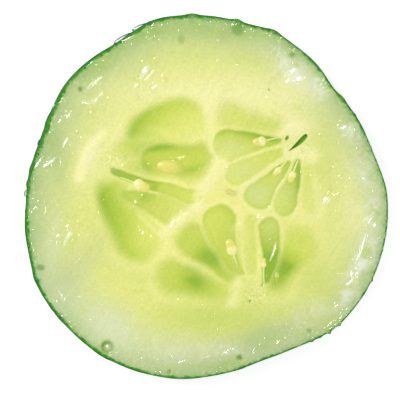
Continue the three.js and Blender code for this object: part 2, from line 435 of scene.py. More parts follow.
# Middle, pointing, size and stalk of each seed, read from its CAD node. The stalk leaves the thick end and
# points away from the middle of the slice.
def readSeed(node):
    points = np.unique(np.round(placesOf(node.data), 4), axis=0)
    spread = points - points.mean(0)
    axis = np.linalg.svd(spread[:, :2], full_matrices=False)[2][0]
    axis = axis * np.sign(axis @ points.mean(0)[:2])
    along = points[:, :2] @ axis
    across = points[:, 1] * axis[0] - points[:, 0] * axis[1]
    widest = np.argmax(across)
    centreLine = (across.max() + across.min()) / 2
    halfLength = along[widest] - along.min()
    middle = axis * along[widest] + np.array([-axis[1], axis[0]]) * centreLine
    return {
        "middle": middle,
        "axis": axis,
        "height": (points[:, 2].max() + points[:, 2].min()) / 2,
        "halfLength": halfLength,
        "halfWidth": (across.max() - across.min()) / 2,
        "halfThick": (points[:, 2].max() - points[:, 2].min()) / 2,
        "stalk": along.max() - along[widest] - halfLength,
    }


seedPlaces = {name: readSeed(node) for name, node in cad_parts.items() if name.startswith("seed_")}

fleshMesh = {
    "cells": 268,  # across the upper cut face, an even number
    "underlap": 0.12,  # how far the flesh runs in under the peel
    "refineReach": 2.0,  # round the slit
}


# A square grid of cells bent into a disc of radius 1.
def discGrid(cells):
    side = np.linspace(-1, 1, cells + 1)
    u, v = np.meshgrid(side, side, indexing="ij")
    steep = abs(u) >= abs(v)
    longer = np.where(steep, u, v)
    safe = np.where(longer == 0, 1, longer)
    turn = math.pi / 4 * np.where(steep, v, u) / safe
    x = np.where(steep, longer * np.cos(turn), longer * np.sin(turn))
    y = np.where(steep, longer * np.sin(turn), longer * np.cos(turn))
    return x.ravel(), y.ravel()


def gridFaces(cells, first, up):
    row = cells + 1
    i, j = np.meshgrid(np.arange(cells), np.arange(cells), indexing="ij")
    a = (first + i * row + j).ravel()
    quads = np.stack([a, a + row, a + row + 1, a + 1], 1)
    return (quads if up else quads[:, ::-1]).tolist()


# Vertices round the edge of a grid, anticlockwise from its lower left corner.
def gridRim(cells, first):
    row = cells + 1
    lower = [first + i * row for i in range(cells)]
    right = [first + cells * row + j for j in range(cells)]
    upper = [first + i * row + cells for i in range(cells, 0, -1)]
    left = [first + j for j in range(cells, 0, -1)]
    return lower + right + upper + left


# How thick the skin shows on the cut face. Its noise is read round circles, so that it meets itself.
def peelThickness(bearing):
    broad = peel["broadWave"] * softNoise(4 * np.cos(bearing), 4 * np.sin(bearing), 1.0, 31)
    x, y = 24 * np.cos(bearing), 24 * np.sin(bearing)
    fine = peel["fineWave"] * softNoise(x, y, 0.7, 32)
    fine = fine + peel["fineWave"] * softNoise(x, y, 0.35, 33)
    side = np.cos(bearing - math.radians(peel["thickestBearing"]))
    return peel["thickness"] + peel["thicker"] * side + broad + fine


def fleshReach(bearing):
    return rimReach(bearing) - peelThickness(bearing) + fleshMesh["underlap"]


def makeFlesh():
    cells = fleshMesh["cells"]
    x, y = discGrid(cells)
    lowX, lowY = discGrid(cells // 2)
    x, y = np.concatenate([x, lowX]), np.concatenate([y, lowY])
    reach = fleshReach(np.arctan2(y, x))
    first = (cells + 1) ** 2
    draw = np.where(np.arange(len(x)) < first, 1, 1 - peel["taper"] / rimReaches.mean())
    x, y = x * reach * draw, y * reach * draw
    upper = gridRim(cells, 0)
    lower = gridRim(cells // 2, first)
    faces = gridFaces(cells, 0, True) + gridFaces(cells // 2, first, False)
    for i, corner in enumerate(lower):
        after = lower[(i + 1) % len(lower)]
        a, b, c = upper[2 * i], upper[2 * i + 1], upper[(2 * i + 2) % len(upper)]
        faces.append((corner, after, c, b, a))
    side = np.where(np.arange(len(x)) < first, 1.0, 0.0)
    piece = makeMesh("flesh", np.stack([x, y, side], 1), faces, {"upper": side})
    refineRound(piece, slit["middle"], fleshMesh["refineReach"])
    shapeFlesh(piece)
    return piece


# Splits each upper cell near a point in three each way.
def refineRound(piece, middle, reach):
    work = bmesh.new()
    work.from_mesh(piece.data)
    layer = work.verts.layers.float["upper"]

    def near(face):
        at = face.calc_center_median() / mm
        return face.verts[0][layer] > 0.5 and math.hypot(at.x - middle[0], at.y - middle[1]) < reach

    edges = {edge for face in work.faces if near(face) for edge in face.edges}
    bmesh.ops.subdivide_edges(work, edges=list(edges), cuts=2, use_grid_fill=True)
    bmesh.ops.triangulate(work, faces=[face for face in work.faces if len(face.verts) > 4])
    work.to_mesh(piece.data)
    work.free()


def shapeFlesh(piece):
    mesh = piece.data
    points = placesOf(mesh)
    upper = points[:, 2] > 0.5
    x, y = points[:, 0], points[:, 1]
    # the lower cut face is the same cucumber a few millimetres on, so its chambers lie a little elsewhere
    shiftX = np.where(upper, 0, 0.5 * softNoise(x, y, 9, 41))
    shiftY = np.where(upper, 0, 0.5 * softNoise(x, y, 9, 42))
    masks = tissue(x + shiftX, y + shiftY)
    masks["depth"] = np.where(upper, masks["depth"], masks["depth"] - peel["taper"])
    masks["pit"] = np.where(upper, joined([masks["pit"], slitOpening(x, y)]), 0)
    masks["wet"] = np.where(upper & (masks["depth"] > 0.65), masks["wet"], 0)
    below = faceRelief(x, y, masks)
    lowest = below[~upper].max()
    points[:, 2] = np.where(upper, cutFaceHeight(x, y), relief["floorShare"] * (lowest - below))
    mesh.vertices.foreach_set("co", (points * mm).ravel())
    storeMasks(mesh, masks)
    mesh.update()


peel = {
    "thickness": 0.38,
    "thicker": 0.17,  # at its thickest, and as much thinner across from there
    "thickestBearing": 160,
    "broadWave": 0.05,
    "fineWave": 0.09,
    "taper": 0.35,  # how much nearer the middle the foot is than the head, as in the CAD slice
    "edgeRound": 0.14,
    "steps": 1080,
    "rows": 17,
    "ripple": 0.08,
    "wartCount": 70,  # besides those named below
    "wartHeights": (0.2, 4.4),
    "wartWidths": (0.5, 1.1),
    "wartRises": (0.06, 0.2),
}

# Warts that show on the rim: bearing in degrees, height, how wide, how proud.
rimWarts = [
    (94.5, 4.6, 1.2, 0.22),
    (80, 4.6, 1.0, 0.3),
    (68, 4.5, 1.3, 0.2),
    (36, 4.4, 1.3, 0.22),
    (155, 4.5, 0.9, 0.12),
    (171, 4.3, 0.9, 0.14),
    (205, 4.4, 1.2, 0.12),
    (236, 4.2, 1.2, 0.1),
    (316.2, 4.9, 0.3, 0.24),
    (314.2, 4.9, 0.25, -0.16),
    (312.2, 4.9, 0.28, 0.32),
    (309, 4.8, 0.4, 0.1),
    (306.2, 4.8, 0.3, 0.14),
    (333.2, 4.8, 0.22, 0.2),
]


def skinRelief(bearing, z):
    reach = rimReaches.mean()
    x, y = reach * np.cos(bearing), reach * np.sin(bearing)
    rough = 0.5 + 0.5 * softNoise(x, y, 7, 55)  # some stretches are bumpy and some smooth
    broad = softNoise(x, y + 0.15 * z, 3.7, 51)
    proud = peel["ripple"] * (broad + 0.3 * rough * softNoise(x, y + 0.3 * z, 1.3, 52))
    rng = np.random.default_rng(53)
    ranges = ((0, 360), peel["wartHeights"], peel["wartWidths"], peel["wartRises"])
    scattered = zip(*(rng.uniform(*limits, peel["wartCount"]) for limits in ranges))
    wartness = np.zeros_like(proud)
    for angle, height, wide, rise in [*rimWarts, *scattered]:
        gap = (bearing - math.radians(angle) + math.pi) % (2 * math.pi) - math.pi
        away = np.hypot(gap * reach, (z - height) * 0.8) / wide
        dome = np.exp(-2.2 * away**2)
        proud = proud + rise * dome
        wartness = np.maximum(wartness, dome * rise / 0.2)
    return proud, np.clip(wartness, 0, 1)


def makePeel():
    steps = peel["steps"]
    bearing = np.linspace(0, 2 * math.pi, steps, endpoint=False)
    wall = peelThickness(bearing)
    cut = thickness - relief["sink"]
    soft = peel["edgeRound"]
    # the section, from the foot up the skin and over the cut edge: inset from the skin, height
    section = [(soft, 0), (0.3 * soft, 0.3 * soft)]
    section += [(0, z) for z in np.linspace(soft, cut - soft, peel["rows"])]
    section += [(0.3 * soft, cut - 0.3 * soft), (soft, cut)]
    # down inside, as shares of the skin's own thickness
    inner = [(1, cut + 0.01), (1.2, cut - 0.15), (1.2, cut / 2), (1.2, 0.15), (1, 0.02)]
    rows = [(np.full(steps, inset), z) for inset, z in section]
    rows += [(share * wall, z) for share, z in inner]
    points, across, proudness = [], [], []
    for inset, z in rows:
        proud, warty = skinRelief(bearing, z)
        reach = rimReach(bearing) - peel["taper"] * (1 - z / thickness) - inset
        reach = reach + proud * (1 - np.clip(inset / wall, 0, 1))
        lift = 0.02 * softNoise(24 * np.cos(bearing), 24 * np.sin(bearing), 0.6, 54) * (z > cut - 0.05)
        points.append(np.stack([reach * np.cos(bearing), reach * np.sin(bearing), z + lift], 1))
        across.append(np.clip(inset / wall, 0, 1))
        proudness.append(warty)
    faces = []
    ids = np.arange(len(rows) * steps).reshape(len(rows), steps).tolist()
    for row, above in zip(ids, ids[1:] + ids[:1]):
        faces += band(row, above)
    # 1 where the skin is darkest, at the left
    shade = np.tile(0.5 - 0.5 * np.cos(bearing + 0.2), len(rows))
    masks = {"across": np.concatenate(across), "wart": np.concatenate(proudness), "shade": shade}
    return makeMesh("peel", np.concatenate(points), faces, masks)


seedShape = {
    "sides": 28,
    "rings": 26,
    "capShare": 0.64,  # the round cap's length over the seed's
    "bodyWidth": 0.88,  # the duller body's width over the cap's
    "stalkHalf": 0.15,
    "stalkTip": 0.1,
    "stalkRings": 14,
    "stalkLift": 0.05,
    "stalkDip": 0.06,  # of its tip, into the flesh
    "stalkShort": 0.05,  # against the CAD node
    "flatSink": 0.1,  # of a seed without a stalk
    "flatDip": 0.22,  # of its far end, below that
    "thickness": 0.7,  # against the CAD node, which is fuller where the gel hides it
}
# How far each stalk swings to its left by its end.
stalkSwing = {
    "seed_left_large": 0.12,
    "seed_right_large": 0.18,
    "seed_lower_slim": 0.15,
    "seed_lower_large": -0.1,
}


# A closed body round a path of points, with half its width and height at each.
def sweptBody(path, wide, high, sides):
    path = np.asarray(path)
    forward = np.gradient(path, axis=0)
    forward[:, 2] = 0
    forward /= np.linalg.norm(forward, axis=1)[:, None]
    left = np.stack([-forward[:, 1], forward[:, 0], np.zeros(len(path))], 1)
    turn = np.linspace(0, 2 * math.pi, sides, endpoint=False)
    sideways = np.asarray(wide)[1:-1, None, None] * np.cos(turn)[None, :, None]
    rings = path[1:-1, None] + sideways * left[1:-1, None]
    rings[:, :, 2] += np.asarray(high)[1:-1, None] * np.sin(turn)
    points = np.concatenate([path[:1], rings.reshape(-1, 3), path[-1:]])
    ids = (1 + np.arange(len(rings) * sides)).reshape(len(rings), sides).tolist()
    last = len(points) - 1
    faces = [(0, ids[0][(i + 1) % sides], ids[0][i]) for i in range(sides)]
    for row, after in zip(ids, ids[1:]):
        faces += band(row, after)
    faces += [(last, ids[-1][i], ids[-1][(i + 1) % sides]) for i in range(sides)]
    return points, faces


# Half the width of a seed at t, from -1 at its back to 1 at its stalk, as a share of its widest.
def seedWidth(t, capped):
    if not capped:
        return np.sqrt(np.clip(1 - abs(t) ** 2.3, 0, 1))
    capMiddle = 1 - seedShape["capShare"]
    cap = np.sqrt(np.clip(1 - ((t - capMiddle) / seedShape["capShare"]) ** 2, 0, 1))
    body = seedShape["bodyWidth"] * np.clip(1 - abs((t + 0.1) / 0.9) ** 2.6, 0, 1) ** 0.45
    body = body * (t < 0.6)
    return np.maximum(cap, body)


def makeSeed(name, seed):
    capped = seed["stalk"] > 0.1
    t = -np.cos(np.linspace(0, math.pi, seedShape["rings"]))
    wide = seedWidth(t, capped)
    along = seed["halfLength"] * t
    high = seed["halfThick"] * wide * seedShape["thickness"]
    wide = seed["halfWidth"] * wide
    swing = np.zeros_like(t)
    lift = 0 * t if capped else -seedShape["flatSink"] - seedShape["flatDip"] * smoothStep(0.3, 1, -t)
    # the cap is paler, and a seed without one sinks into the gel at its far end
    cap = smoothStep(-0.3, 0.3, t) if capped else smoothStep(-0.2, 0.9, -t)
    if capped:
        kept = (t < 0) | (wide > 1.25 * seedShape["stalkHalf"])
        s = np.linspace(0, 1, seedShape["stalkRings"])
        half = seedShape["stalkHalf"] + (seedShape["stalkTip"] - seedShape["stalkHalf"]) * s**0.5
        half[-1] = 0
        stalk = seed["stalk"] - seedShape["stalkShort"]
        along = np.concatenate([along[kept], seed["halfLength"] + stalk * s])
        wide = np.concatenate([wide[kept], half])
        high = np.concatenate([high[kept], 0.6 * half])
        swing = np.concatenate([swing[kept], stalkSwing.get(name, 0) * s**2])
        rise = seedShape["stalkLift"] * np.sin(math.pi * s) - seedShape["stalkDip"] * s
        lift = np.concatenate([lift[kept], rise])
        cap = np.concatenate([cap[kept], np.full(len(s), 2)])
    ux, uy = seed["axis"]
    x = seed["middle"][0] + ux * along - uy * swing
    y = seed["middle"][1] + uy * along + ux * swing
    path = np.stack([x, y, seed["height"] + lift], 1)
    points, faces = sweptBody(path, wide, high, seedShape["sides"])
    capRings = np.repeat(cap[1:-1], seedShape["sides"])
    words = name.split("_")
    title = words[1] + words[2].capitalize() + "Seed"
    return makeMesh(title, points, faces, {"cap": np.concatenate([cap[:1], capRings, cap[-1:]])})


# The studio. The water needs it too, because its glints face the key light.
studio = {
    "key": (148, 34, 700, 200, 21),  # bearing from +X, angle from straight up, distance, width, radiance
    "fill": (-40, 62, 900, 600, 1.5),
    "skyStrength": 0.55,
    "backdropStrength": 1.1,  # what the camera sees of the sky
    "floorSide": 6000,
    "floorGap": 0.02,  # under the slice
    "floorTone": "#ececec",
    "floorGlow": 0.6,
}
keyDirection = heading(studio["key"][0])
# water that slopes this much towards the key light glints
glintSlope = math.tan(math.radians(studio["key"][1] / 2))

# Ridges of water that lie in the knife's furrows: start, end, half the width, bow to the left.
waterRidges = [
    ((-15.2, 14.6), (-13.9, 15.8), 0.1, 0.05), ((-16.4, 12.6), (-15.7, 12.3), 0.08, -0.05),
    ((-15.0, 12.45), (-14.4, 13.1), 0.12, -0.1), ((-9.7, 14.5), (-8.9, 14.9), 0.2, 0),
    ((-8.5, 16.2), (-7.9, 17.3), 0.4, 0), ((-8.3, 15.2), (-7.0, 16.9), 0.14, -0.1),
    ((-7.2, 14.2), (-6.6, 14.9), 0.24, 0), ((-18.5, 10.3), (-18.0, 11.1), 0.22, 0),
    ((-19.6, 9.7), (-19.2, 10.3), 0.2, 0), ((-18.9, 6.8), (-18.3, 7.8), 0.16, 0),
    ((-22.7, 3.7), (-21.7, 5.2), 0.17, 0), ((-21.5, 4.0), (-20.1, 4.9), 0.24, 0),
    ((-18.3, -5.3), (-18.0, -4.5), 0.1, 0), ((-19.8, -5.3), (-19.4, -4.9), 0.22, 0),
    ((-18.5, -4.0), (-18.2, -3.5), 0.12, 0), ((-19.9, -6.2), (-19.7, -5.9), 0.12, 0),
    ((-4.8, 4.1), (-4.3, 4.9), 0.12, 0), ((-3.7, 5.0), (-3.2, 5.4), 0.12, 0),
    ((-9.5, -0.8), (-9.2, -0.5), 0.22, 0), ((-4.9, -4.1), (-4.1, -2.9), 0.12, 0),
    ((-3.9, -3.2), (-3.4, -2.4), 0.09, 0), ((-8.5, -5.0), (-8.3, -4.4), 0.13, 0),
    ((8.5, -8.0), (9.1, -6.2), 0.1, -0.1), ((6.7, -2.9), (6.9, -2.2), 0.11, 0),
    ((15.3, -0.6), (15.9, -0.1), 0.26, 0), ((17.1, 0.3), (17.5, 0.7), 0.12, 0),
    ((19.6, -8.4), (20.9, -5.0), 0.13, -0.2), ((18.4, -11.5), (19.3, -10.7), 0.16, -0.15),
    ((19.1, -10.7), (19.2, -9.8), 0.12, 0.1), ((11.1, 16.2), (11.7, 17.0), 0.3, 0),
    ((10.4, 15.0), (10.9, 15.6), 0.2, 0), ((11.9, 15.3), (12.4, 15.9), 0.3, 0),
    ((17.8, 8.9), (18.4, 9.4), 0.26, 0), ((21.3, -3.4), (21.8, -2.8), 0.2, 0),
    ((22.0, -4.0), (22.4, -3.4), 0.14, 0), ((-18.8, -13.7), (-18.5, -13.2), 0.1, 0),
    ((2.2, -20.8), (3.0, -20.0), 0.14, 0), ((6.0, -20.5), (6.4, -20.0), 0.13, 0),
    ((9.2, -19.4), (9.7, -18.9), 0.16, 0), ((-3.8, -21.9), (-2.8, -21.5), 0.12, 0),
    ((16.9, -14.6), (17.3, -14.1), 0.14, 0), ((-11.4, 20.4), (-9.8, 21.2), 0.14, 0),
    ((-15.9, 17.1), (-14.8, 18.1), 0.1, 0), ((-7.4, 22.5), (-6.9, 22.8), 0.2, 0),
    ((-6.1, 22.6), (-5.7, 22.8), 0.14, 0), ((-20.3, 11.8), (-20.0, 12.2), 0.12, 0),
    ((-22.9, -1.8), (-22.6, -1.2), 0.14, 0), ((-21.3, -1.7), (-21.1, -1.2), 0.1, 0),
    ((-23.0, -7.4), (-22.7, -6.8), 0.1, 0), ((15.9, -17.1), (16.6, -16.4), 0.12, 0),
    ((17.5, -16.2), (17.9, -15.6), 0.1, 0), ((-13.25, -19.9), (-12.95, -19.55), 0.24, 0),
    ((3.3, 22.6), (3.6, 22.95), 0.2, 0), ((4.7, 22.4), (4.9, 22.7), 0.13, 0),
    ((16.2, -17.5), (16.6, -17.1), 0.12, 0), ((6.1, 21.7), (6.3, 21.95), 0.1, 0),
    ((8.3, 21.2), (8.5, 21.5), 0.14, 0), ((9.7, 20.9), (10.1, 21.2), 0.08, 0),
]
# Painted glint lines: white lines laid on the water streaks in place of their glints, in the same order.
paintedGlintLines = [
    ((-15.9, 14.0), (-13.7, 16.0), 0.09, 0.22), ((-15.9, 14.0), (-13.7, 16.0), 0.07, -0.15),
    ((-16.6, 12.9), (-14.2, 13.5), 0.12, -0.95), ((-16.4, 12.8), (-14.3, 13.4), 0.06, -0.5),
    ((-8.9, 15.4), (-7.5, 17.4), 0.34, 0), ((-22.8, 3.6), (-21.4, 5.4), 0.1, 0.1),
    ((-21.6, 3.9), (-19.9, 5.2), 0.2, 0), ((-19.1, 6.6), (-18.2, 7.9), 0.14, 0),
    ((-18.9, -6.5), (-17.8, -4.2), 0.3, 0), ((-16.1, -5.3), (-14.6, -5.1), 0.06, 0.3),
    ((-5.0, -4.3), (-3.4, -2.2), 0.06, 0.16), ((-4.7, -4.2), (-3.3, -2.6), 0.05, -0.1),
    ((8.3, -8.6), (9.2, -5.8), 0.13, -0.1), ((15.2, -0.9), (16.5, 0), 0.38, 0),
    ((19.5, -8.7), (21.0, -4.8), 0.17, -0.25), ((18.3, -11.8), (19.4, -10.4), 0.17, -0.1),
    ((19.4, -10.6), (19.1, -9.5), 0.1, 0), ((-19.7, -12.1), (-19.0, -13.6), 0.09, 0.1),
    ((-3.9, -22.0), (-2.7, -21.4), 0.07, 0), ((1.9, -21.0), (2.6, -20.2), 0.12, 0),
    ((-0.4, -21.3), (0.6, -21.0), 0.1, 0.1), ((14.9, 14.1), (15.7, 15.9), 0.12, 0.1),
    ((10.2, 16.2), (12.2, 16.9), 0.3, 0.1), ((10.9, 15.3), (13.2, 15.9), 0.35, -0.1),
    ((17.5, 8.9), (18.5, 9.4), 0.35, 0), ((20.6, -3.2), (21.8, -2.4), 0.2, 0),
    ((-10.8, 20.6), (-9.6, 21.3), 0.1, 0), ((-16.2, 16.9), (-14.6, 18.3), 0.08, 0),
]
waterFilm = {
    "height": 0.03,  # of a ridge at its low side, and of a painted glint line
    "sunk": 0.01,
    "foot": 0.12,  # how far its underside lies in the flesh
}
strays = {
    "each": 3,
    "spread": 0.8,
    "length": (0.15, 0.6),
    "half": (0.03, 0.08),
    "seed": 62,
}
# Drops standing on the cut face: middle, half sizes, turn, height.
standingDrops = [
    ((-8.1, 22.0), 0.4, 0.22, 15, 0.15), ((-22.6, 0.6), 0.3, 0.3, 0, 0.14),
    ((-22.9, -6.3), 0.35, 0.45, 0, 0.16), ((13.0, -16.6), 0.35, 0.3, 0, 0.15),
    ((-19.9, 10.4), 0.3, 0.3, 0, 0.12),
]
# Drops clinging to the skin: bearing, height, half their length along the skin, half their height, how proud.
skinDrops = [
    (117.6, 4.0, 1.5, 0.8, 0.4), (111.2, 4.2, 1.25, 0.7, 0.34), (153, 4.3, 0.8, 0.55, 0.2),
    (162, 4.5, 0.5, 0.45, 0.28), (219, 4.1, 1.3, 0.5, 0.18), (94.8, 4.5, 0.5, 0.4, 0.2),
    (179, 4.5, 0.5, 0.4, 0.28),
]
beads = {
    "rings": 3,
    "sides": 9,
    "dome": 0.42,  # its height as a share of its half width
    "flat": 0.24,  # the height of its flat over its middle
    "foot": 0.3,
    "density": 0.85,  # to a square millimetre where the face is wettest
    "smallest": 0.05,
    "largest": 0.17,
    "seed": 7,
    "turn": 14,  # degrees either way
}


# One ridge: its side towards the key light is a plane that glints, and the other falls away. A painted glint
# line is as high all over.
def ridgeBody(ridge, number, glints, along=17, across=9):
    start, end, half, bow = ridge
    dx, dy = end[0] - start[0], end[1] - start[1]
    length = math.hypot(dx, dy)
    places, shares = np.linspace(0, 1, along), np.sin(np.linspace(-0.5, 0.5, across) * math.pi)
    s, w = (grid.ravel() for grid in np.meshgrid(places, shares, indexing="ij"))
    outline = np.sin(math.pi * np.clip(s, 0.004, 0.996)) ** 0.45
    outline = outline * (1 + 0.25 * softNoise(s * 4 + number, w * 0 + number, 1.0, 61))
    side = half * w * outline + bow * 4 * s * (1 - s)
    x = start[0] + dx * s - dy / length * side
    y = start[1] + dy * s + dx / length * side
    rise = -glintSlope * (x * keyDirection[0] + y * keyDirection[1]) * glints
    rise = rise - rise.min() + waterFilm["height"]
    edge = smoothStep(1, 0.85, abs(w)) * smoothStep(0, 0.08, s) * smoothStep(1, 0.92, s)
    ground = cutFaceHeight(x, y)
    if glints:
        ground = np.full_like(x, ground.mean())
    top = np.stack([x, y, ground - waterFilm["sunk"] + rise * edge], 1)
    foot = np.stack([x, y, ground - waterFilm["foot"]], 1)
    return lensBody(top, foot, across, along)


# A closed body between an upper and a lower grid of points.
def lensBody(top, foot, across, along):
    count = len(top)
    grid = np.arange(count).reshape(along, across).tolist()
    faces = []
    for row, after in zip(grid, grid[1:]):
        for a, b, c, d in zip(row, after, after[1:], row[1:]):
            faces.append((a, b, c, d))
            faces.append((d + count, c + count, b + count, a + count))
    start, end = [row[0] for row in grid[:-1]], [row[-1] for row in grid[:0:-1]]
    rim = start + grid[-1][:-1] + end + grid[0][:0:-1]
    for a, b in zip(rim, rim[1:] + rim[:1]):
        faces.append((a + count, b + count, b, a))
    return np.concatenate([top, foot]), faces


# A drop as a squashed ball: middle, its three half sizes, turn about the upright in degrees.
def ballBody(middle, radii, turn, steps=22, sides=32):
    t = np.linspace(0, math.pi, steps)
    c, s = heading(turn)
    reach = -np.cos(t) * radii[0]
    path = np.stack([middle[0] + c * reach, middle[1] + s * reach, np.full(steps, middle[2])], 1)
    return sweptBody(path, radii[1] * np.sin(t), radii[2] * np.sin(t), sides)


def joinedBodies(name, bodies):
    points, faces = [], []
    for bodyPoints, bodyFaces in bodies:
        shift = sum(len(part) for part in points)
        points.append(bodyPoints)
        faces += [tuple(i + shift for i in face) for face in bodyFaces]
    return makeMesh(name, np.concatenate(points), faces)


# Smaller ridges that lie about each one, along the knife's furrows.
def strayRidges():
    rng = np.random.default_rng(strays["seed"])
    bearing = math.radians(relief["knifeBearing"])
    kept = []
    for ridge in waterRidges:
        for _ in range(strays["each"]):
            at = np.array(ridge[1]) + rng.normal(0, strays["spread"], 2)
            length = rng.uniform(*strays["length"])
            turn = bearing + rng.normal(0, 0.35)
            tip = at + length * np.array([math.cos(turn), math.sin(turn)])
            kept.append((tuple(at), tuple(tip), rng.uniform(*strays["half"]), 0))
    return kept


def makeRidges():
    ridges = [*waterRidges, *strayRidges()]
    return joinedBodies("waterRidges", [ridgeBody(ridge, i, True) for i, ridge in enumerate(ridges)])


def makePaintedGlints():
    return joinedBodies("froth", [ridgeBody(line, i, False) for i, line in enumerate(paintedGlintLines)])


def makeDrops():
    bodies = []
    for middle, halfLong, halfWide, turn, height in standingDrops:
        ground = float(cutFaceHeight(np.array([middle[0]]), np.array([middle[1]]))[0])
        bodies.append(ballBody((*middle, ground), (halfLong, halfWide, height), turn))
    for bearing, height, halfLong, halfHigh, proud in skinDrops:
        angle = math.radians(bearing)
        reach = rimReach(angle) - peel["taper"] * (1 - height / thickness)
        middle = (reach * math.cos(angle), reach * math.sin(angle), height)
        bodies.append(ballBody(middle, (halfLong, proud, halfHigh), bearing + 90))
    return joinedBodies("waterDrops", bodies)


# An sRGB hex colour as linear light.
def linear(colour):
    parts = [int(colour[i:i + 2], 16) / 255 for i in (1, 3, 5)]
    return [c / 12.92 if c <= 0.04045 else ((c + 0.055) / 1.055) ** 2.4 for c in parts] + [1]


# Adds a node, sets its own settings, and fills each named or numbered input with a value or a link.
def addNode(tree, kind, inputs=None, **settings):
    node = tree.nodes.new(kind)
    for key, value in settings.items():
        setattr(node, key, value)
    for key, value in (inputs or {}).items():
        if isinstance(value, bpy.types.NodeSocket):
            tree.links.new(value, node.inputs[key])
        else:
            node.inputs[key].default_value = value
    return node


def fillRamp(node, stops, span=1):
    ramp = node.color_ramp
    while len(ramp.elements) > 1:
        ramp.elements.remove(ramp.elements[-1])
    ramp.elements[0].position = stops[0][0] / span
    ramp.elements[0].color = linear(stops[0][1])
    for place, colour in stops[1:]:
        ramp.elements.new(place / span).color = linear(colour)


# A material whose shader holds the values that are the same all over.
def newMaterial(name, surface):
    material = bpy.data.materials.new(name)
    material.use_nodes = True
    tree = material.node_tree
    shader = tree.nodes["Principled BSDF"]
    for key, value in surface.items():
        shader.inputs[key].default_value = value
    return material, tree, shader


def wire(tree, shader, links):
    for key, socket in links.items():
        tree.links.new(socket, shader.inputs[key])


# Noise on the piece's own coordinates, with lumps about size millimetres across, that many times longer
# along each axis, and turned about the upright. A span gives the lowest and highest values that count,
# then what they become.
def grain(tree, size, span=None, detail=2, stretch=(1, 1, 1), turn=0, roughness=0.5):
    place = addNode(tree, "ShaderNodeTexCoord")
    mapping = addNode(tree, "ShaderNodeMapping", {
        "Vector": place.outputs["Object"], "Scale": stretch,
        "Rotation": (0, 0, math.radians(turn))}, vector_type="TEXTURE")
    noise = addNode(tree, "ShaderNodeTexNoise", {
        "Vector": mapping.outputs[0], "Scale": 1 / (size * mm),
        "Detail": detail, "Roughness": roughness}).outputs["Fac"]
    if span is None:
        return noise
    return addNode(tree, "ShaderNodeMapRange", dict(enumerate((noise, *span)))).outputs[0]


# One of the piece's own masks, drawn out by a span in the same way.
def mask(tree, name, span=None):
    value = addNode(tree, "ShaderNodeAttribute", attribute_name=name).outputs["Fac"]
    if span is None:
        return value
    return addNode(tree, "ShaderNodeMapRange", dict(enumerate((value, *span)))).outputs[0]


# Lays colours over a first one. How much of each shows is the product of its factors.
def overlaid(tree, colour, layers):
    for coat, *factors in layers:
        amount = factors[0]
        for factor in factors[1:]:
            product = addNode(tree, "ShaderNodeMath", {0: amount, 1: factor}, operation="MULTIPLY")
            amount = product.outputs[0]
        coat = linear(coat) if isinstance(coat, str) else coat
        colour = addNode(tree, "ShaderNodeMix", {0: amount, 6: colour, 7: coat}, data_type="RGBA").outputs[2]
    return colour


# Ends a material with its colour made lighter and darker by value, fine bumps of one size, strength and
# height in millimetres, and how rough it is from place to place.
def finishMaterial(tree, shader, colour, value, bumps, roughness):
    size, strength, height = bumps
    graded = addNode(tree, "ShaderNodeHueSaturation", {"Color": colour, "Value": value})
    bump = addNode(tree, "ShaderNodeBump", {
        "Height": grain(tree, size), "Strength": strength, "Distance": height * mm})
    wire(tree, shader, {"Base Color": graded.outputs[0], "Normal": bump.outputs[0], "Roughness": roughness})


fleshLook = {
    "tones": [(0, "#4a9433"), (0.4, "#83b260"), (0.8, "#a9c880"), (1.4, "#bdd08d"), (2.8, "#cddb93"),
              (4.4, "#d9e28f"), (6.2, "#e3e98f"), (8.5, "#eaed8c"), (11, "#f0f191"),
              (15, "#f5f492")],  # inwards from the skin, mm
    "gelTones": [(0, "#ecf080"), (0.25, "#dfe86e"), (0.5, "#cedd58"), (0.75, "#b4cf42"), (1, "#98bf2f")],
    "washes": {"cream": "#fdfabc", "lime": "#cfde6c", "grey": "#c4d0a0", "green": "#9cc25c",
               "mist": "#e4eccb"},
    "marks": {"milk": "#dbe5a4", "pale": "#fefbb0", "veinAndDropShade": "#649c2c", "bruise": "#b4b23e"},
    # painted sheen, the whitish reflection off the wet face
    "paintedSheen": "#f3f5e2",
    "pit": "#69b400",
    "paintedReflection": "#f7faec",  # painted reflection, where the water film mirrors the softbox
    "torn": [(0.35, "#bfd250"), (0.5, "#ebee86"), (0.62, "#fefcd0")],  # torn cells of the placentas
    "surface": {"IOR": 1.36, "Subsurface Weight": 0.3, "Subsurface Radius": (1, 1, 0.5),
                "Subsurface Scale": 0.4 * mm, "Coat Weight": 0.4, "Coat Roughness": 0.12, "Coat IOR": 1.33},
}


# The tones from the skin inwards. The green under the skin reaches in unevenly, cell by cell.
def depthTones(tree):
    reach = fleshLook["tones"][-1][0]
    uneven = grain(tree, 0.45, (0.3, 0.7, -0.3, 0.3), 3, roughness=0.6)
    depth = addNode(tree, "ShaderNodeMath", {0: mask(tree, "depth"), 1: uneven}, operation="ADD")
    share = addNode(tree, "ShaderNodeMath", {0: depth.outputs[0], 1: 1 / reach}, operation="MULTIPLY")
    tones = addNode(tree, "ShaderNodeValToRGB", {0: share.outputs[0]})
    fillRamp(tones, fleshLook["tones"], reach)
    return tones.outputs[0]


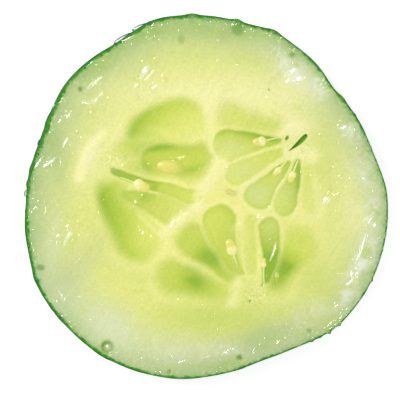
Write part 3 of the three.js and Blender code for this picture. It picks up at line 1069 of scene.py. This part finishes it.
# Cucumber flesh, freshly cut: wet, faintly see-through cells that pale from green at the skin to yellow at
# the heart, with clear green gel in the chambers. The eye gets a soft glow and small wet glints.
def fleshMaterial():
    material, tree, shader = newMaterial("cucumber flesh", fleshLook["surface"])
    washes = fleshLook["washes"]
    gelTones = addNode(tree, "ShaderNodeValToRGB", {0: mask(tree, "tone")})
    fillRamp(gelTones, fleshLook["gelTones"])
    torn = addNode(tree, "ShaderNodeValToRGB", {0: grain(tree, 0.28, None, 4, roughness=0.65)})
    fillRamp(torn, fleshLook["torn"])
    blotches = grain(tree, 1.1, (0.56, 0.72, 0, 0.35), 3)
    # painted sheen: the whitish reflection off the wet face, broken into patches half a millimetre to a few
    # across
    patches = grain(tree, 1.6, (0.46, 0.56, 0.5, 1), 5, roughness=0.62)
    # painted reflection: the water film mirrors the softbox in flecks along the knife's furrows, 0.3 mm wide
    flecks = grain(tree, 0.3, (0.6, 0.74, 0, 0.6), 3, (1.5, 1, 1), relief["knifeBearing"], 0.6)
    colour = overlaid(tree, depthTones(tree), [
        *((tone, mask(tree, name)) for name, tone in washes.items()),
        (washes["lime"], blotches),
        (gelTones.outputs[0], mask(tree, "gel")),
        *((tone, mask(tree, name)) for name, tone in fleshLook["marks"].items()),
        (fleshLook["paintedSheen"], patches, mask(tree, "paintedSheen")),
        (torn.outputs[0], mask(tree, "grainy"), 0.6),
        (fleshLook["paintedReflection"], flecks, mask(tree, "wet", (0.2, 0.9, 0, 1))),
        (fleshLook["pit"], mask(tree, "pit")),
    ])
    # cells 0.3 mm across, and fibres the knife drew out
    cells = grain(tree, 0.3, (0.3, 0.7, 0.945, 1.055), 3, roughness=0.65)
    fibres = grain(tree, 0.4, (0.3, 0.7, 0.98, 1.02), 2, (8, 1, 1), relief["knifeBearing"])
    value = addNode(tree, "ShaderNodeMath", {0: cells, 1: fibres}, operation="MULTIPLY")
    roughness = grain(tree, 0.8, (0.3, 0.7, 0.3, 0.5))
    finishMaterial(tree, shader, colour, value.outputs[0], (0.28, 0.5, 0.05), roughness)
    return material


peelLook = {
    "across": [(0, "#1d4f28"), (0.12, "#24622a"), (0.3, "#1f8410"), (0.65, "#3a9a1a"), (0.9, "#62aa38"),
               (1, "#9cc070")],  # from the skin to the flesh
    "dark": "#0c3316",
    "streak": "#6ea33c",
    "wart": "#8cb85c",
    "surface": {"IOR": 1.4, "Specular IOR Level": 0.35, "Subsurface Weight": 0.08,
                "Subsurface Radius": (0.6, 1, 0.4), "Subsurface Scale": 0.2 * mm},
}


# Cucumber peel: tough, waxy and dark green, with paler streaks that run the length of the fruit. The eye gets
# a dull sheen on the skin and a bright green line where the knife went through it.
def peelMaterial():
    material, tree, shader = newMaterial("cucumber peel", peelLook["surface"])
    # the green cells give way to pale ones unevenly, in clumps 0.4 mm across
    clumps = grain(tree, 0.4, (0.3, 0.7, -0.45, 0.45), 3, roughness=0.6)
    uneven = addNode(tree, "ShaderNodeMath", {0: clumps, 1: mask(tree, "across", (0.2, 0.7, 0, 1))},
                     operation="MULTIPLY")
    ripeness = addNode(tree, "ShaderNodeMath", {0: mask(tree, "across"), 1: uneven.outputs[0]},
                       operation="ADD")
    tones = addNode(tree, "ShaderNodeValToRGB", {0: ripeness.outputs[0]})
    fillRamp(tones, peelLook["across"])
    onSkin = mask(tree, "across", (0, 0.35, 1, 0))
    darkness = grain(tree, 2.6, (0.35, 0.65, 0.1, 0.7), 3, (1, 1, 10))
    streaks = grain(tree, 0.7, (0.56, 0.75, 0, 0.6), 2, (1, 1, 16))
    colour = overlaid(tree, tones.outputs[0], [
        (peelLook["dark"], mask(tree, "shade", (0, 1, 0.35, 1.2)), darkness, onSkin),
        (peelLook["streak"], streaks, onSkin),
        (peelLook["wart"], mask(tree, "wart", (0.5, 1, 0, 0.45))),
    ])
    specks = grain(tree, 0.25, (0.3, 0.7, 0.72, 1.24), 3)
    roughness = grain(tree, 1.2, (0.3, 0.7, 0.28, 0.5))
    finishMaterial(tree, shader, colour, specks, (0.16, 0.4, 0.03), roughness)
    return material


# A seed's tones from its body (0) over its cap (0.5) to its stalk (1).
seedLook = {
    "tones": {
        "capped": [(0, "#efe978"), (0.5, "#fff9a8"), (1, "#e9f38e")],
        "seed_left_flat": [(0, "#ece878"), (0.5, "#cbd954"), (1, "#cbd954")],
        "seed_lower_small": [(0, "#cfdc62"), (0.5, "#d3df66"), (1, "#c0d650")],
    },
    "surface": {"Subsurface Weight": 0.25, "Subsurface Radius": (1, 1, 0.5), "Subsurface Scale": 0.12 * mm,
                "Coat Weight": 0.25, "Coat Roughness": 0.1},
}


# A cucumber's young seed coat: soft, smooth and still wet, pale at the stalk and yellow behind.
def seedMaterial(name, tones):
    material, tree, shader = newMaterial(name, seedLook["surface"])
    share = addNode(tree, "ShaderNodeMath", {0: mask(tree, "cap"), 1: 0.5}, operation="MULTIPLY")
    ramp = addNode(tree, "ShaderNodeValToRGB", {0: share.outputs[0]})
    fillRamp(ramp, tones)
    mottle = grain(tree, 0.35, (0.3, 0.7, 0.95, 1.04))
    roughness = grain(tree, 0.5, (0.3, 0.7, 0.25, 0.4))
    finishMaterial(tree, shader, ramp.outputs[0], mottle, (0.2, 0.3, 0.02), roughness)
    return material


# Lets the lamps shine straight through.
def castNoShadow(tree, shader):
    path = addNode(tree, "ShaderNodeLightPath")
    clear = addNode(tree, "ShaderNodeBsdfTransparent")
    mixed = addNode(tree, "ShaderNodeMixShader", {
        0: path.outputs["Is Shadow Ray"], 1: shader.outputs[0], 2: clear.outputs[0]})
    tree.links.new(mixed.outputs[0], tree.nodes["Material Output"].inputs["Surface"])


waterLook = {
    "ripple": 0.1,  # how strongly the water on the cut face ripples, from 0 to 1
    "dropRipple": 0.02,
    "surface": {"Base Color": (1, 1, 1, 1), "Transmission Weight": 1, "Roughness": 0.02, "IOR": 1.333,
                "Coat Weight": 0.6, "Coat Roughness": 0.04, "Coat IOR": 1.45},
}
# tones of the painted highlight lines, dull to white
paintedGlintLook = {
    "tones": ("#e2ecb4", "#fffff0"),
    "surface": {"Roughness": 0.3, "IOR": 1.33},
}


# Clear water. It lets light straight through to the flesh, and its coat makes glints this small read.
def waterMaterial(name, ripple):
    material, tree, shader = newMaterial(name, waterLook["surface"])
    bump = addNode(tree, "ShaderNodeBump", {
        "Height": grain(tree, 0.6, detail=1), "Strength": ripple, "Distance": 0.01 * mm})
    wire(tree, shader, {"Normal": bump.outputs[0]})
    castNoShadow(tree, shader)
    return material


# Painted highlight: cream to white lines, half see-through, in place of the glints of thin water streaks.
# The bubbles are drawn 0.14 mm across, coarser than the real ones, so that they show.
def paintedGlintMaterial():
    material, tree, shader = newMaterial("froth of cucumber juice", paintedGlintLook["surface"])
    dull, white = paintedGlintLook["tones"]
    colour = overlaid(tree, linear(dull), [(white, grain(tree, 0.14, detail=3))])
    wire(tree, shader, {"Base Color": colour, "Alpha": grain(tree, 0.3, (0.35, 0.65, 0.55, 1), 3)})
    castNoShadow(tree, shader)
    return material


# A bead one millimetre in half width, with a flat towards the key light.
def makeBead():
    rings, sides = beads["rings"], beads["sides"]
    angles = np.linspace(0, 2 * math.pi, sides, endpoint=False)
    points = [(0, 0, 0)]
    for reach in np.linspace(0, 1, rings + 1)[1:]:
        points += [(reach * math.cos(a), reach * math.sin(a), 0) for a in angles]
    points = np.array(points)
    dome = beads["dome"] * (1 - points[:, 0] ** 2 - points[:, 1] ** 2)
    plane = beads["flat"] - glintSlope * (points[:, 0] * keyDirection[0] + points[:, 1] * keyDirection[1])
    points[:, 2] = np.minimum(dome, plane)
    points = np.concatenate([points, [(0, 0, -beads["foot"])]])
    ids = (1 + np.arange(rings * sides)).reshape(rings, sides).tolist()
    faces = [(0, ids[0][i], ids[0][(i + 1) % sides]) for i in range(sides)]
    for inner, outer in zip(ids, ids[1:]):
        faces += [tuple(reversed(face)) for face in band(inner, outer)]
    foot = len(points) - 1
    faces += [(foot, ids[-1][(i + 1) % sides], ids[-1][i]) for i in range(sides)]
    return makeMesh("bead", points, faces)


def beadTree():
    tree = bpy.data.node_groups.new("scatter beads", "GeometryNodeTree")
    sockets = {}
    kinds = {"Surface": "Object", "Bead": "Object", "Material": "Material", "Density": "Float",
             "Smallest": "Float", "Largest": "Float", "Turn": "Float", "Seed": "Int"}
    for name, kind in kinds.items():
        sockets[name] = tree.interface.new_socket(name, in_out="INPUT", socket_type="NodeSocket" + kind)
    tree.interface.new_socket("Geometry", in_out="OUTPUT", socket_type="NodeSocketGeometry")
    given = addNode(tree, "NodeGroupInput").outputs
    surface = addNode(tree, "GeometryNodeObjectInfo", {"Object": given["Surface"]})
    bead = addNode(tree, "GeometryNodeObjectInfo", {"Object": given["Bead"]})
    wet = addNode(tree, "GeometryNodeInputNamedAttribute", {"Name": "wet"}, data_type="FLOAT")
    density = addNode(tree, "ShaderNodeMath", {0: wet.outputs[0], 1: given["Density"]}, operation="MULTIPLY")
    points = addNode(tree, "GeometryNodeDistributePointsOnFaces", {
        "Mesh": surface.outputs["Geometry"], "Density": density.outputs[0], "Seed": given["Seed"]})
    size = addNode(tree, "FunctionNodeRandomValue", {
        "Min": given["Smallest"], "Max": given["Largest"], "Seed": given["Seed"]}, data_type="FLOAT")
    back = addNode(tree, "ShaderNodeMath", {0: given["Turn"], 1: -1}, operation="MULTIPLY")
    turn = addNode(tree, "FunctionNodeRandomValue", {
        "Min": back.outputs[0], "Max": given["Turn"], "Seed": 3}, data_type="FLOAT")
    spin = addNode(tree, "ShaderNodeCombineXYZ", {"Z": turn.outputs[1]})
    copies = addNode(tree, "GeometryNodeInstanceOnPoints", {
        "Points": points.outputs["Points"], "Instance": bead.outputs["Geometry"],
        "Rotation": spin.outputs[0], "Scale": size.outputs[1]})
    whole = addNode(tree, "GeometryNodeRealizeInstances", {"Geometry": copies.outputs[0]})
    finished = addNode(tree, "GeometryNodeSetMaterial", {
        "Geometry": whole.outputs[0], "Material": given["Material"]})
    addNode(tree, "NodeGroupOutput", {"Geometry": finished.outputs[0]})
    return tree, {name: socket.identifier for name, socket in sockets.items()}


def scatterBeads(surface, material):
    bead = makeBead()
    tree, sockets = beadTree()
    host = makeMesh("beadHost", np.zeros((0, 3)), [])
    modifier = host.modifiers.new("beads", "NODES")
    modifier.node_group = tree
    values = {"Surface": surface, "Bead": bead, "Material": material, "Density": beads["density"] / mm**2,
              "Smallest": beads["smallest"], "Largest": beads["largest"], "Turn": math.radians(beads["turn"]),
              "Seed": beads["seed"]}
    for name, value in values.items():
        modifier[sockets[name]] = value
    evaluated = host.evaluated_get(bpy.context.evaluated_depsgraph_get())
    mesh = bpy.data.meshes.new_from_object(evaluated)
    mesh.name = "waterBeads"
    piece = bpy.data.objects.new("waterBeads", mesh)
    bpy.context.scene.collection.objects.link(piece)
    for helper in (host, bead):
        bpy.data.objects.remove(helper)
    return piece


def makeFloor():
    side = studio["floorSide"] / 2
    below = -studio["floorGap"]
    corners = [(-side, -side, below), (side, -side, below), (side, side, below), (-side, side, below)]
    floor = makeMesh("floor", corners, [(0, 1, 2, 3)])
    material, tree, shader = newMaterial("matt white paper", {
        "Base Color": linear(studio["floorTone"]), "Roughness": 0.9, "Specular IOR Level": 0,
        "Emission Color": (1, 1, 1, 1)})
    # the glow shows to the camera, straight or through water, and lights nothing
    path = addNode(tree, "ShaderNodeLightPath").outputs
    seen = addNode(tree, "ShaderNodeMath", {0: path["Is Camera Ray"], 1: path["Is Transmission Ray"]},
                   operation="MAXIMUM")
    glow = addNode(tree, "ShaderNodeMath", {0: seen.outputs[0], 1: studio["floorGlow"]}, operation="MULTIPLY")
    wire(tree, shader, {"Emission Strength": glow.outputs[0]})
    floor.data.materials.append(material)


def makeSky():
    world = bpy.data.worlds.new("studio")
    bpy.context.scene.world = world
    world.use_nodes = True
    tree = world.node_tree
    seen = addNode(tree, "ShaderNodeLightPath").outputs["Is Camera Ray"]
    background = tree.nodes["Background"]
    background.inputs["Color"].default_value = (1, 1, 1, 1)
    strength = addNode(tree, "ShaderNodeMapRange", {
        0: seen, 3: studio["skyStrength"], 4: studio["backdropStrength"]})
    wire(tree, background, {"Strength": strength.outputs[0]})


# A round softbox: bearing from +X and angle from straight up in degrees, distance and width in mm.
def makeSoftbox(name, bearing, fromUp, distance, width, radiance):
    data = bpy.data.lights.new(name, "AREA")
    data.shape = "DISK"
    data.size = width * mm
    data.energy = radiance * (math.pi * data.size / 2) ** 2
    light = bpy.data.objects.new(name, data)
    fromUp, bearing = math.radians(fromUp), math.radians(bearing)
    reach, height = distance * mm * math.sin(fromUp), distance * mm * math.cos(fromUp)
    light.location = (reach * math.cos(bearing), reach * math.sin(bearing), height)
    light.rotation_euler = (0, fromUp, bearing)
    bpy.context.scene.collection.objects.link(light)


fleshPiece = makeFlesh()
fleshPiece.data.materials.append(fleshMaterial())
settle(fleshPiece, "flesh", "slice")
print("flesh made:", len(fleshPiece.data.polygons), "faces")

peelPiece = makePeel()
peelPiece.data.materials.append(peelMaterial())
settle(peelPiece, "skin", "slice")
print("peel made:", len(peelPiece.data.polygons), "faces")

seedMaterials = {}
for key, tones in seedLook["tones"].items():
    seedMaterials[key] = seedMaterial("young seed, " + key.split("_")[-1], tones)
for name, seed in seedPlaces.items():
    piece = makeSeed(name, seed)
    piece.data.materials.append(seedMaterials.get(name, seedMaterials["capped"]))
    settle(piece, "seed", name)
print("seeds made:", len(seedPlaces))

water = waterMaterial("water, rippled", waterLook["ripple"])
dropWater = waterMaterial("water, drops", waterLook["dropRipple"])
for piece, material in ((makeRidges(), water), (makeDrops(), dropWater), (makePaintedGlints(), paintedGlintMaterial())):
    piece.data.materials.append(material)
    settle(piece, "juice")
beadPiece = scatterBeads(fleshPiece, water)
settle(beadPiece, "juice")
print("water made:", len(beadPiece.data.polygons), "bead faces")

makeFloor()
makeSky()
for name in ("key", "fill"):
    makeSoftbox(name, *studio[name])
bpy.context.scene.view_settings.view_transform = "Standard"
print("floor and lights made")
